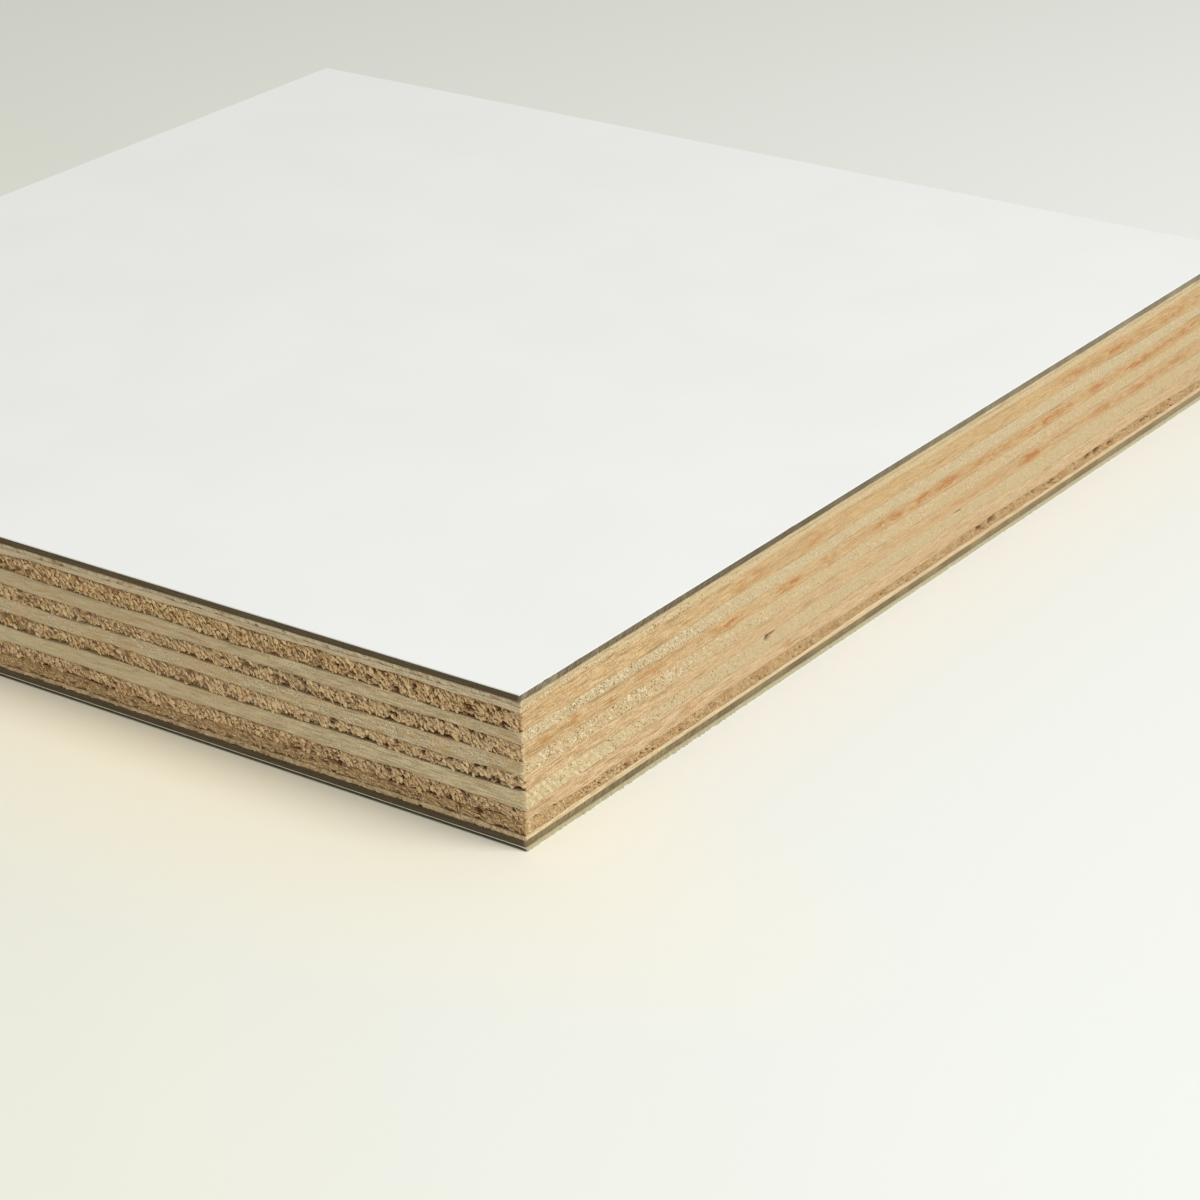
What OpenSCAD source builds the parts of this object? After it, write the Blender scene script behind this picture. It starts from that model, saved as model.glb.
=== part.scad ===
// Square-cut piece of plywood panel faced on both sides with high-pressure laminate.
// The panel lies flat on z = 0 with its origin at the centre of its underside.
// Veneers are numbered from the top down, and their grain turns by a right angle
// from each veneer to the next.

/* [Panel] */
// Length of the panel, along X
panel_length = 176; // [60:1:2500]
// Width of the panel, along Y
panel_width = 176; // [60:1:1250]

/* [Laminate] */
// Thickness of the white decor layer of each laminate
decor_t = 0.15; // [0.1:0.05:0.5]
// Thickness of the dark kraft paper core of each laminate
kraft_t = 0.85; // [0.4:0.05:2]

/* [Veneers] */
// Thickness of veneer 1, the upper face veneer, grain along X
veneer_01_t = 0.6; // [0.4:0.1:3]
// Thickness of veneer 2, the upper crossband, grain along Y
veneer_02_t = 0.8; // [0.4:0.1:3]
// Thickness of veneer 3, grain along X
veneer_03_t = 2.5; // [0.8:0.1:4]
// Thickness of veneer 4, grain along Y
veneer_04_t = 1.8; // [0.8:0.1:4]
// Thickness of veneer 5, grain along X
veneer_05_t = 2.1; // [0.8:0.1:4]
// Thickness of veneer 6, the middle of the lay-up, grain along Y
veneer_06_t = 1.9; // [0.8:0.1:4]
// Thickness of veneer 7, grain along X
veneer_07_t = 2.0; // [0.8:0.1:4]
// Thickness of veneer 8, grain along Y
veneer_08_t = 2.1; // [0.8:0.1:4]
// Thickness of veneer 9, grain along X
veneer_09_t = 2.0; // [0.8:0.1:4]
// Thickness of veneer 10, the lower crossband, grain along Y
veneer_10_t = 1.6; // [0.4:0.1:3]
// Thickness of veneer 11, the lower face veneer, grain along X
veneer_11_t = 0.6; // [0.4:0.1:3]

/* [Hidden] */
// Thicknesses of the veneers, from the top down
veneer_t = [
    veneer_01_t, veneer_02_t, veneer_03_t, veneer_04_t, veneer_05_t, veneer_06_t,
    veneer_07_t, veneer_08_t, veneer_09_t, veneer_10_t, veneer_11_t
];
veneer_count = len(veneer_t);

// Thickness of one laminate, and of the glued plywood between the two laminates
laminate_t = decor_t + kraft_t;
plywood_t = sum_from(veneer_t, 0);

// Heights of the undersides of the layers above the floor
bottom_kraft_z = decor_t;
plywood_z = laminate_t;
top_kraft_z = plywood_z + plywood_t;
top_decor_z = top_kraft_z + kraft_t;

// Colours of the cut edges, as the veneers show them
decor_colour = "#eef0ec";
kraft_colour = "#4e463b";
face_veneer_colour = "#e2c89c";
along_x_colour = "#d2ac74";
along_y_colour = "#d6be94";
heartwood_colour = "#b08a5c";

// Sum of a list's values from one index to its end
function sum_from(values, index) =
    index >= len(values) ? 0 : values[index] + sum_from(values, index + 1);

// Node name of a veneer, with its number in two digits
function veneer_name(number) = str("veneer_", number < 10 ? "0" : "", number);

// Height of a veneer's underside: the sum of all the veneers below it
function veneer_z(number) = plywood_z + sum_from(veneer_t, number);

// Odd veneers run along X and even ones along Y
function runs_along_x(number) = number % 2 == 1;

// The first and the last veneer lie against the laminates
function is_face_veneer(number) = number == 1 || number == veneer_count;

// The veneer next to the lower face veneer is brown heartwood
function is_lower_crossband(number) = number == veneer_count - 1;

function veneer_colour(number) =
    is_face_veneer(number) ? face_veneer_colour
    : is_lower_crossband(number) ? heartwood_colour
    : runs_along_x(number) ? along_x_colour
    : along_y_colour;

// One flat layer of the panel, sawn to the panel's outline
module layer(z, thickness) {
    translate([0, 0, z])
        linear_extrude(thickness)
            square([panel_length, panel_width], center = true);
}

// White decor layer that is the panel's visible face
module top_decor() {
    color(decor_colour) layer(top_decor_z, decor_t);
}

// Dark kraft paper core of the upper laminate
module top_kraft_core() {
    color(kraft_colour) layer(top_kraft_z, kraft_t);
}

// One rotary-cut veneer of the plywood
module veneer(number) {
    color(veneer_colour(number)) layer(veneer_z(number), veneer_t[number - 1]);
}

// Dark kraft paper core of the lower laminate
module bottom_kraft_core() {
    color(kraft_colour) layer(bottom_kraft_z, kraft_t);
}

// White decor layer of the underside
module bottom_decor() {
    color(decor_colour) layer(0, decor_t);
}

top_decor();
top_kraft_core();
for (number = [1 : veneer_count])
    veneer(number);
bottom_kraft_core();
bottom_decor();
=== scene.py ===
"""Dress a laminate-faced plywood sheet: torn and sawn veneers between kraft cores and white decor layers.

Sizes are in millimetres unless a name says otherwise, and meshes are built in metres.
An edge is read as one faces it: u runs along it to the right, and h up from a layer's underside.
"""

import logging
import math
from dataclasses import dataclass, field
from enum import Enum
from typing import Optional

import bmesh
import bpy
import numpy as np
from mathutils import Matrix, Vector


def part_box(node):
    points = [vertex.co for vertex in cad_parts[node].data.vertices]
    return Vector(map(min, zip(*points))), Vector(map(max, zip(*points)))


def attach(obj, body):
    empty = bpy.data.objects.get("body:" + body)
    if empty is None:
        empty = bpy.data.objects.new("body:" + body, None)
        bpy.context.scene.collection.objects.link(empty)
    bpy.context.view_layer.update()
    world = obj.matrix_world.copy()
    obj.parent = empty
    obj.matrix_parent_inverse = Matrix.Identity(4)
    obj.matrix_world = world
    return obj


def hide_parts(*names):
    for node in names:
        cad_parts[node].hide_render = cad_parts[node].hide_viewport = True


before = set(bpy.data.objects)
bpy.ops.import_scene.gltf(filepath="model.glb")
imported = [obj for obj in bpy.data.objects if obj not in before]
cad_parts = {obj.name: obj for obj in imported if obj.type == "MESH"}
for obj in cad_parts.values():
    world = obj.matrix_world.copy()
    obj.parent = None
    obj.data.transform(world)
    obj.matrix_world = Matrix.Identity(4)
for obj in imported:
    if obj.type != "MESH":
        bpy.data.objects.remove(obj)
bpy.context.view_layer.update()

MM = 0.001
BAKE_MAP = "OFBake"
GOLDEN_SHARE = 0.6180339887
log = logging.getLogger("plywood")

Socket = bpy.types.NodeSocket
Array = np.ndarray
Span = tuple[float, float]
Place = tuple[float, float, float]
Values = dict[str, Array]
ORIGIN: Place = (0.0, 0.0, 0.0)
UNIT: Place = (1.0, 1.0, 1.0)


def linear(code: str) -> tuple[float, float, float, float]:
    """Turn a written colour into the linear values that a shader reads.

    Args:
        code: Six hexadecimal digits after a hash, as red, green and blue.

    Returns:
        Linear red, green and blue, and an alpha of 1.
    """
    parts = [int(code[i:i + 2], 16) / 255 for i in (1, 3, 5)]
    red, green, blue = [c / 12.92 if c <= 0.04045 else ((c + 0.055) / 1.055) ** 2.4 for c in parts]
    return red, green, blue, 1.0


def smooth_step(low: float, high: float, value: Array) -> Array:
    """Change smoothly from 0 at low to 1 at high."""
    t = np.clip((value - low) / (high - low), 0.0, 1.0)
    return t * t * (3 - 2 * t)


def band(away: Array, width: float) -> Array:
    """Fade from 1 on a line to 0 some widths away from it."""
    return np.exp(-(away / width) ** 2)


def mesh_from(bm: bmesh.types.BMesh, name: str) -> bpy.types.Mesh:
    """Turn a finished bmesh into a mesh of that name.

    Args:
        bm: The bmesh, which is freed.
        name: The mesh's name.

    Returns:
        The new mesh.
    """
    mesh = bpy.data.meshes.new(name)
    bm.to_mesh(mesh)
    bm.free()
    return mesh


def link(name: str, data: bpy.types.ID) -> bpy.types.Object:
    """Put data into the scene as a new object.

    Args:
        name: The object's name.
        data: Its mesh, camera or light.

    Returns:
        The new object.
    """
    thing = bpy.data.objects.new(name, data)
    bpy.context.scene.collection.objects.link(thing)
    return thing


class Side(Enum):
    """A sawn edge of the sheet, by the way it faces, in the order of a walk round from the front corner."""

    FRONT = (0.0, -1.0)
    RIGHT = (1.0, 0.0)
    BACK = (0.0, 1.0)
    LEFT = (-1.0, 0.0)

    @property
    def normal(self) -> Array:
        """The way the edge faces."""
        return np.array([self.value[0], self.value[1], 0.0])

    @property
    def along(self) -> Array:
        """To the right, as one faces the edge."""
        return np.array([-self.value[1], self.value[0], 0.0])

    @property
    def faces_x(self) -> bool:
        """Whether the edge looks along X, so that it runs along Y."""
        return self.value[0] != 0

    @property
    def place(self) -> int:
        """Its place on the walk round the sheet, from 0."""
        return list(Side).index(self)

    def neighbour(self, step: int) -> "Side":
        """The edge that many places on, along the walk round the sheet."""
        sides = list(Side)
        return sides[(self.place + step) % len(sides)]


SHOWN_SIDES = (Side.FRONT, Side.LEFT)


class Grain(Enum):
    """The way that a veneer's fibres run, as the number of that axis."""

    ALONG_X = 0
    ALONG_Y = 1

    def ends_on(self, side: Side) -> bool:
        """Whether a side shows the cut ends of the fibres."""
        return side.faces_x == (self is Grain.ALONG_X)


class TuftShape(Enum):
    """The shapes that torn fibres take."""

    CRUMB = "crumb"
    FLAKE = "flake"
    STRAND = "strand"

    def mesh(self) -> bpy.types.Mesh:
        """Make one tuft of unit size, with its length along X and its thickness along Z.

        Returns:
            A closed mesh of at most twenty triangles.
        """
        bm = bmesh.new()
        if self is TuftShape.CRUMB:
            bmesh.ops.create_icosphere(bm, subdivisions=1, radius=0.5)
        elif self is TuftShape.FLAKE:
            bmesh.ops.create_uvsphere(bm, u_segments=4, v_segments=2, radius=0.5)
        else:
            bmesh.ops.create_cone(bm, cap_ends=True, segments=4, radius1=0.62, radius2=0.3, depth=1.0)
            spines = [e for e in bm.edges if abs(e.verts[0].co.z - e.verts[1].co.z) > 0.5]
            bmesh.ops.subdivide_edges(bm, edges=spines, cuts=1, use_grid_fill=True)
            bmesh.ops.rotate(bm, verts=bm.verts, matrix=Matrix.Rotation(math.pi / 4, 3, "Z"))
            bmesh.ops.rotate(bm, verts=bm.verts, matrix=Matrix.Rotation(math.pi / 2, 3, "Y"))
            arch = [v for v in bm.verts if abs(v.co.x) < 0.1]
            bmesh.ops.translate(bm, verts=arch, vec=(0.0, 0.0, 0.3))
        return mesh_from(bm, self.value)


@dataclass(frozen=True)
class Spots:
    """Places on an edge: along it, and above a layer's underside."""

    side: Side
    u: Array
    h: Array


@dataclass(frozen=True)
class LatticeNoise:
    """Smooth seeded noise on a square lattice, between 0 and 1."""

    seed: int

    def corner(self, i: Array, j: Array) -> Array:
        """Hash lattice points to values between 0 and 1."""
        mixed = (i * 374761393 + j * 668265263 + self.seed * 974711) & 0xFFFFFFFF
        mixed = ((mixed ^ (mixed >> 13)) * 1274126177) & 0xFFFFFFFF
        return ((mixed ^ (mixed >> 16)) & 0xFFFF) / 65535.0

    def smooth(self, u: Array, v: Array) -> Array:
        """Noise with features one unit across.

        Args:
            u: First coordinates.
            v: Second coordinates, as many as the first.

        Returns:
            One value for each pair of coordinates.
        """
        i, j = np.floor(u).astype(np.int64), np.floor(v).astype(np.int64)
        a, b = u - i, v - j
        a, b = a * a * (3 - 2 * a), b * b * (3 - 2 * b)
        low = self.corner(i, j) * (1 - a) + self.corner(i + 1, j) * a
        high = self.corner(i, j + 1) * (1 - a) + self.corner(i + 1, j + 1) * a
        return low * (1 - b) + high * b

    def fractal(self, u: Array, v: Array, octaves: int = 3) -> Array:
        """Noise with finer and fainter layers on top of the first.

        Args:
            u: First coordinates.
            v: Second coordinates, as many as the first.
            octaves: How many layers, each half as large and half as strong as the last.

        Returns:
            One value for each pair of coordinates.
        """
        total, weight = np.zeros_like(u, dtype=float), 0.0
        for octave in range(octaves):
            step = 2.0 ** octave
            total += self.smooth(u * step + 19.7 * octave, v * step + 7.3 * octave) / step
            weight += 1 / step
        return total / weight

    def crumbs(self, u: Array, v: Array) -> tuple[Array, Array, Array]:
        """Split the plane into crumbs about one unit across.

        Args:
            u: First coordinates.
            v: Second coordinates, as many as the first.

        Returns:
            The distance to the crumb's middle, how much further the next one is, and its chance value.
        """
        i, j = np.floor(u).astype(np.int64), np.floor(v).astype(np.int64)
        near, second, own = np.full(u.shape, 9.0), np.full(u.shape, 9.0), np.zeros(u.shape)
        for di in (-1, 0, 1):
            for dj in (-1, 0, 1):
                a, b = i + di, j + dj
                away = np.hypot(u - a - self.corner(a, b), v - b - self.corner(a + 7919, b - 104729))
                closer = away < near
                second = np.where(closer, near, np.minimum(second, away))
                own = np.where(closer, self.corner(a - 31337, b + 271), own)
                near = np.where(closer, away, near)
        return near, second - near, own


@dataclass(frozen=True)
class Tufts:
    """Loose fibres that stand on an edge, with angles in degrees."""

    shape: TuftShape
    per_mm2: float
    length: Span
    width: Span
    lean: float = -42.0
    spread: float = 24.0
    lift: Span = (-4.0, 14.0)
    roll: float = 0.0
    stout: float = 0.6
    uneven: float = 0.09
    raised: float = 0.0
    margin: float = 0.16
    pale: Span = (0.0, 0.0)
    tone: Span = (0.0, 0.35)
    not_below: float = 0.34
    gathered: float = 0.0


@dataclass(frozen=True)
class Lumps:
    """Broken lumps of one size on a torn edge, with the cracks between them."""

    size: Span
    rise: float
    crack: float
    crack_share: float = 0.3
    lost: float = 0.0
    lost_depth: float = 0.5

    def split(self, along: Array, across: Array, noise: LatticeNoise) -> tuple[Array, ...]:
        """Split an edge into lumps, as LatticeNoise.crumbs does."""
        warp = noise.smooth(along / self.size[0] / 1.6, across / self.size[1] / 1.6 + 9.0) - 0.5
        return noise.crumbs(along / self.size[0] + 0.7 * warp, across / self.size[1] + 0.9 * warp)

    def depth(self, along: Array, across: Array, noise: LatticeNoise) -> Array:
        """Work out how much deeper than even the lumps lie.

        Args:
            along: Places along the lean of the fibres.
            across: Places across it.
            noise: The layer's own noise for this edge.

        Returns:
            Depths, below 0 where a lump stands out.
        """
        near, gap, own = self.split(along, across, noise)
        patches = noise.fractal(along / self.size[0] / 1.3 + 31.0, across / self.size[1] / 1.3)
        opened = smooth_step(0.3, 0.62, patches)
        cracks = self.crack * (0.25 + 0.75 * opened) * smooth_step(self.crack_share, 0.0, gap)
        depth = self.rise * (own * 2 - 1) + cracks
        if self.lost:
            torn_out = smooth_step(1 - self.lost, 1 - 0.8 * self.lost, (own * 7.31) % 1.0)
            depth += self.lost_depth * torn_out * smooth_step(0.75, 0.25, near)
        return depth


@dataclass(frozen=True)
class EdgeCut:
    """What a saw leaves on an edge: how deep it lies behind the sheet's outline, and what stands on it."""

    depth: float
    least: float = 0.0
    rim: float = 0.02
    rim_width: float = 0.08
    clump: float = 0.0
    clump_size: Span = (1.9, 0.9)
    streak: float = 0.0
    streak_size: Span = (1.6, 0.22)
    lean: float = -36.0
    lumps: tuple[Lumps, ...] = ()
    groove: float = 0.0
    groove_height: float = 0.2
    groove_length: float = 1.25
    upper_groove: float = 0.8
    upper_height: float = 0.14
    tone: float = 0.0
    tufts: tuple[Tufts, ...] = ()

    def leaned(self, u: Array, h: Array) -> tuple[Array, Array]:
        """Measure places along and across the lean of the torn fibres."""
        turn = math.radians(self.lean)
        return u * math.cos(turn) + h * math.sin(turn), h * math.cos(turn) - u * math.sin(turn)

    def relief(self, u: Array, h: Array, thickness: float, noise: LatticeNoise) -> Array:
        """Work out how deep the edge lies at each place.

        Args:
            u: Places along the edge.
            h: Heights above the layer's underside.
            thickness: The layer's height.
            noise: The layer's own noise for this edge.

        Returns:
            Depths behind the outline.
        """
        along, across = self.leaned(u, h)
        depth = np.full_like(u, self.depth)
        depth += self.clump * (noise.fractal(u / self.clump_size[0], h / self.clump_size[1]) * 2 - 1)
        streaks = noise.fractal(along / self.streak_size[0] + 40, across / self.streak_size[1] + 80)
        depth += self.streak * (streaks * 2 - 1)
        for lumps in self.lumps:
            depth += lumps.depth(along, across, noise)
        if self.groove:
            gaps = noise.fractal(u / self.groove_length, np.full_like(u, 3.5), 2)
            opened = smooth_step(0.42, 0.66, gaps)
            lower = band(h, self.groove_height * (0.5 + opened))
            depth += self.groove * (0.12 + 0.88 * opened) * lower
            upper = band(thickness - h, self.upper_height)
            depth += self.upper_groove * self.groove * smooth_step(0.5, 0.75, 1 - gaps) * upper
        depth += self.rim * (band(h, self.rim_width) + band(thickness - h, self.rim_width))
        return np.maximum(depth, self.least)

    def shade(self, u: Array, h: Array, noise: LatticeNoise) -> Array:
        """How much darker each place's own lump is, from 0 to 1."""
        if not self.lumps:
            return np.zeros_like(u)
        return self.tone * ((self.lumps[0].split(*self.leaned(u, h), noise)[2] * 3.77) % 1.0) ** 2


TORN_CLODS = Tufts(
    TuftShape.CRUMB, per_mm2=1.7, length=(0.6, 1.2), width=(0.36, 0.62), lean=-28.0, spread=15.0,
    lift=(0.0, 24.0), roll=28.0, stout=0.4, raised=0.07, tone=(-0.2, 0.25), pale=(0.3, 0.9), not_below=0.42,
)
TORN_FLAKES = Tufts(
    TuftShape.CRUMB, per_mm2=3.4, length=(0.3, 0.8), width=(0.18, 0.36), lean=-30.0, spread=20.0,
    lift=(0.0, 26.0), roll=28.0, stout=0.45, raised=0.09, tone=(-0.25, 0.25), pale=(0.3, 1.0), not_below=0.42,
)
TORN_SPLINTERS = Tufts(
    TuftShape.FLAKE, per_mm2=1.8, length=(0.4, 0.9), width=(0.08, 0.15), lean=-32.0, spread=30.0,
    lift=(-4.0, 20.0), stout=0.8, raised=0.12, pale=(0.5, 1.0), tone=(-0.3, 0.15), not_below=0.42,
)
FINE_CRUMBS = Tufts(
    TuftShape.FLAKE, per_mm2=4.0, length=(0.15, 0.4), width=(0.08, 0.2), lean=-20.0, spread=40.0,
)
PALE_STRANDS = Tufts(
    TuftShape.FLAKE, per_mm2=8.0, length=(0.2, 0.65), width=(0.12, 0.3), lean=-15.0, spread=40.0,
    lift=(0.0, 8.0), stout=0.25, raised=0.05, margin=0.08, pale=(0.25, 0.8), tone=(-0.3, 0.12), gathered=0.5,
)
STRAY_STRANDS = Tufts(
    TuftShape.STRAND, per_mm2=0.06, length=(0.6, 1.8), width=(0.035, 0.06), lean=0.0, spread=25.0,
    lift=(0.0, 5.0), raised=0.03, pale=(0.3, 0.7),
)
BROWN_FLAKES = Tufts(
    TuftShape.FLAKE, per_mm2=6.5, length=(0.35, 1.0), width=(0.15, 0.3), lean=-20.0, lift=(-4.0, 20.0),
    roll=30.0, stout=0.5, uneven=0.1, raised=0.06, margin=0.13, tone=(-0.3, 0.3), pale=(0.2, 1.0),
    not_below=0.38,
)
TORN_TUFTS = (TORN_CLODS, TORN_FLAKES, TORN_SPLINTERS)
TORN_LUMPS = (
    Lumps((0.85, 0.45), rise=0.09, crack=0.25, lost=0.12, lost_depth=0.42),
    Lumps((0.45, 0.27), rise=0.04, crack=0.1),
)
SPECKS = (Lumps((0.45, 0.25), rise=0.05, crack=0.08, lost=0.08, lost_depth=0.2),)
ROUGH_SPECKS = (Lumps((0.6, 0.3), rise=0.04, crack=0.06, lost=0.1, lost_depth=0.26),)
BROWN_LUMPS = (
    Lumps((0.9, 0.36), rise=0.07, crack=0.2, lost=0.08, lost_depth=0.4),
    Lumps((0.42, 0.24), rise=0.04, crack=0.08),
)


class Cut(Enum):
    """The kinds of cut edge on this sheet."""

    TORN_END = EdgeCut(
        depth=0.14, least=-0.05, clump=0.05, lean=-33.0, lumps=TORN_LUMPS, groove=0.24, tone=0.25,
        tufts=TORN_TUFTS,
    )
    GAPING_END = EdgeCut(
        depth=0.16, least=-0.05, clump=0.06, lean=-33.0, lumps=TORN_LUMPS, groove=0.4, groove_height=0.26,
        tone=0.25, tufts=TORN_TUFTS,
    )
    SPECKLED_END = EdgeCut(depth=0.07, clump=0.03, lean=-25.0, lumps=SPECKS, tone=0.6, tufts=(FINE_CRUMBS,))
    ROUGH_END = EdgeCut(depth=0.06, clump=0.03, lean=-30.0, lumps=ROUGH_SPECKS, tone=0.35)
    SAWN_END = EdgeCut(depth=0.03, clump=0.012, clump_size=(1.5, 0.8), streak=0.022, rim=0.03)
    SAWN_LONG = EdgeCut(
        depth=0.02, clump=0.008, clump_size=(9.0, 0.5), streak=0.014, streak_size=(14.0, 0.16), lean=-1.2,
    )
    COMBED_LONG = EdgeCut(
        depth=0.04, clump=0.02, clump_size=(7.0, 0.5), streak=0.03, streak_size=(11.0, 0.16), lean=0.8,
        rim=0.04, tufts=(STRAY_STRANDS,),
    )
    FUZZY_LONG = EdgeCut(
        depth=0.08, clump=0.04, clump_size=(3.0, 0.5), streak=0.05, streak_size=(3.0, 0.18), lean=-6.0,
        tufts=(PALE_STRANDS,),
    )
    BROWN_LONG = EdgeCut(
        depth=0.14, clump=0.05, lean=-22.0, lumps=BROWN_LUMPS, groove=0.22, tone=0.34, tufts=(BROWN_FLAKES,),
    )


@dataclass(frozen=True)
class Stain:
    """A gum streak: its middle along the edge, its reach each way, its height and its strength."""

    u: float
    reach: float
    height: float
    strength: float
    spread: float = 0.45


@dataclass(frozen=True)
class Pit:
    """A hole in an edge, or a lip if its depth is below 0: its middle, its half sizes and its depth."""

    u: float
    h: float
    half_length: float
    half_height: float
    depth: float


@dataclass(frozen=True)
class Seam:
    """The slightly wavy glue line between two veneers, rougher where it meets torn ends."""

    number: int
    bend: float = 0.3
    ripple: float = 0.13
    calm: float = 0.6
    torn_reach: float = 1.8
    slow_wave: float = 15.0
    quick_wave: float = 2.6

    def rise(self, points: Array) -> Array:
        """Work out how much higher than flat the seam lies.

        Args:
            points: Points in metres.

        Returns:
            One height for each point, in metres.
        """
        noise = LatticeNoise(700 + self.number)
        x, y = points[:, 0] / MM, points[:, 1] / MM
        from_ends = np.abs(x) - np.abs(x).max()
        rough = self.calm + (1 - self.calm) * smooth_step(-self.torn_reach, 0.0, from_ends)
        slow = noise.fractal(x / self.slow_wave, y / self.slow_wave, 2) * 2 - 1
        quick = noise.fractal(x / self.quick_wave, y / self.quick_wave, 2) * 2 - 1
        return (self.bend * slow + self.ripple * rough * quick) * MM


@dataclass(frozen=True)
class SawStreaks:
    """Pale slanting marks of saw teeth, which fade out along an edge."""

    pitch: float = 1.25
    share: float = 0.75
    reach: float = 22.0
    most: float = 0.75

    def strength(self, u: Array, h: Array, noise: LatticeNoise) -> Array:
        """How pale each place is, from 0 to 1.

        Args:
            u: Places along the edge.
            h: Heights above the layer's underside.
            noise: The layer's own noise for this edge.

        Returns:
            One strength for each place.
        """
        wander = 0.5 * (noise.smooth(u / 3.0, h / 2.0) - 0.5)
        phase = np.abs(((u + h) / self.pitch + wander) % 1.0 - 0.5)
        marks = smooth_step(0.5 * self.share, 0.2 * self.share, phase)
        broken = smooth_step(0.35, 0.65, noise.fractal(u / 0.6, h / 0.45))
        return self.most * marks * (0.15 + 0.85 * broken) * smooth_step(1.3 * self.reach, 0.5 * self.reach, u)


class NodeGraph:
    """A material's shader nodes, added one by one."""

    def __init__(self, name: str) -> None:
        """Start an empty material.

        Args:
            name: The material's name.
        """
        self.material = bpy.data.materials.new(name)
        self.material.use_nodes = True
        self.tree = self.material.node_tree
        self.tree.nodes.clear()

    def add(self, kind: str, inputs: Optional[dict] = None, **settings: object) -> bpy.types.Node:
        """Add a node.

        Args:
            kind: The node's type.
            inputs: Values for its sockets, or sockets to link to them, by name or number.
            settings: Values for its own properties.

        Returns:
            The new node.
        """
        node = self.tree.nodes.new(kind)
        for name, value in settings.items():
            setattr(node, name, value)
        for name, value in (inputs or {}).items():
            if isinstance(value, Socket):
                self.tree.links.new(value, node.inputs[name])
            else:
                node.inputs[name].default_value = value
        return node

    def millimetres(self, size: Place = UNIT, turn_y: float = 0.0, middle: Place = ORIGIN) -> Socket:
        """Object coordinates from a middle, turned about Y by degrees, with a unit of that size.

        Args:
            size: How many millimetres long a unit is along each axis.
            turn_y: The turn about Y, in degrees.
            middle: The place that becomes the origin.

        Returns:
            The coordinates.
        """
        inputs = {
            "Vector": self.add("ShaderNodeTexCoord").outputs["Object"], "Location": [m * MM for m in middle],
            "Rotation": (0.0, math.radians(turn_y), 0.0), "Scale": [s * MM for s in size],
        }
        return self.add("ShaderNodeMapping", inputs, vector_type="TEXTURE").outputs["Vector"]

    def way(self, place: Socket, course: Place) -> Socket:
        """How far places lie along a course."""
        node = self.add("ShaderNodeVectorMath", {0: place, 1: course}, operation="DOT_PRODUCT")
        return node.outputs["Value"]

    def attribute(self, name: str) -> Socket:
        """A number that the mesh keeps at each point."""
        return self.add("ShaderNodeAttribute", attribute_name=name).outputs["Fac"]

    def noise(self, vector: Socket, scale: float, detail: float = 2.0, rough: float = 0.5) -> Socket:
        """Noise between 0 and 1, with features of one over scale."""
        inputs = {"Vector": vector, "Scale": scale, "Detail": detail, "Roughness": rough}
        return self.add("ShaderNodeTexNoise", inputs).outputs["Fac"]

    def dots(self, vector: Socket, scale: float, radius: float, share: float) -> Socket:
        """Scattered soft dots, in that share of a lattice's cells.

        Args:
            vector: The coordinates.
            scale: Cells to a unit.
            radius: The radius of a dot, as a share of a cell.
            share: The share of cells that have a dot.

        Returns:
            1 in the middle of a dot, and 0 outside it.
        """
        cells = self.add("ShaderNodeTexVoronoi", {"Vector": vector, "Scale": scale})
        chosen = self.ramp(cells.outputs["Color"], 0.72 - 0.44 * share - 0.1, 0.72 - 0.44 * share + 0.2)
        return self.times(self.ramp(cells.outputs["Distance"], radius, 0.5 * radius), chosen)

    def ramp(self, value: Socket, low: float, high: float, start: float = 0.0, end: float = 1.0) -> Socket:
        """Change smoothly from start, at a value of low, to end, at a value of high."""
        inputs = {"Value": value, "From Min": low, "From Max": high, "To Min": start, "To Max": end}
        return self.add("ShaderNodeMapRange", inputs, interpolation_type="SMOOTHSTEP").outputs["Result"]

    def math(self, operation: str, first: object, second: object) -> Socket:
        """Combine two numbers or sockets."""
        return self.add("ShaderNodeMath", {0: first, 1: second}, operation=operation).outputs["Value"]

    def times(self, first: object, second: object) -> Socket:
        """Multiply two numbers or sockets."""
        return self.math("MULTIPLY", first, second)

    def mix(self, share: Socket, first: object, second: object) -> Socket:
        """Mix two colours.

        Args:
            share: How much of the second colour there is.
            first: A written colour or a socket.
            second: A written colour or a socket.

        Returns:
            The mixed colour.
        """
        first = linear(first) if isinstance(first, str) else first
        second = linear(second) if isinstance(second, str) else second
        return self.add("ShaderNodeMix", {0: share, 6: first, 7: second}, data_type="RGBA").outputs[2]

    def bump(
        self, height: Socket, distance: float, strength: float, under: Optional[Socket] = None,
    ) -> Socket:
        """Turn heights into a bumped normal.

        Args:
            height: The heights, from 0 to 1.
            distance: What a height of 1 stands for, in millimetres.
            strength: How strongly it shows.
            under: A normal that it lies on, if there is one.

        Returns:
            The bumped normal.
        """
        inputs = {"Height": height, "Distance": distance * MM, "Strength": strength}
        if under is not None:
            inputs["Normal"] = under
        return self.add("ShaderNodeBump", inputs).outputs["Normal"]

    def finish(
        self, colour: Socket, roughness: object, normal: Socket, specular: float,
    ) -> bpy.types.Material:
        """Close the graph with its surface shader.

        Args:
            colour: The base colour.
            roughness: A number or a socket.
            normal: The bumped normal.
            specular: How strongly the surface shines.

        Returns:
            The finished material.
        """
        shader = self.add("ShaderNodeBsdfPrincipled", {
            "Base Color": colour, "Roughness": roughness, "Normal": normal, "Specular IOR Level": specular,
        })
        self.add("ShaderNodeOutputMaterial", {"Surface": shader.outputs["BSDF"]})
        return self.material


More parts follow.
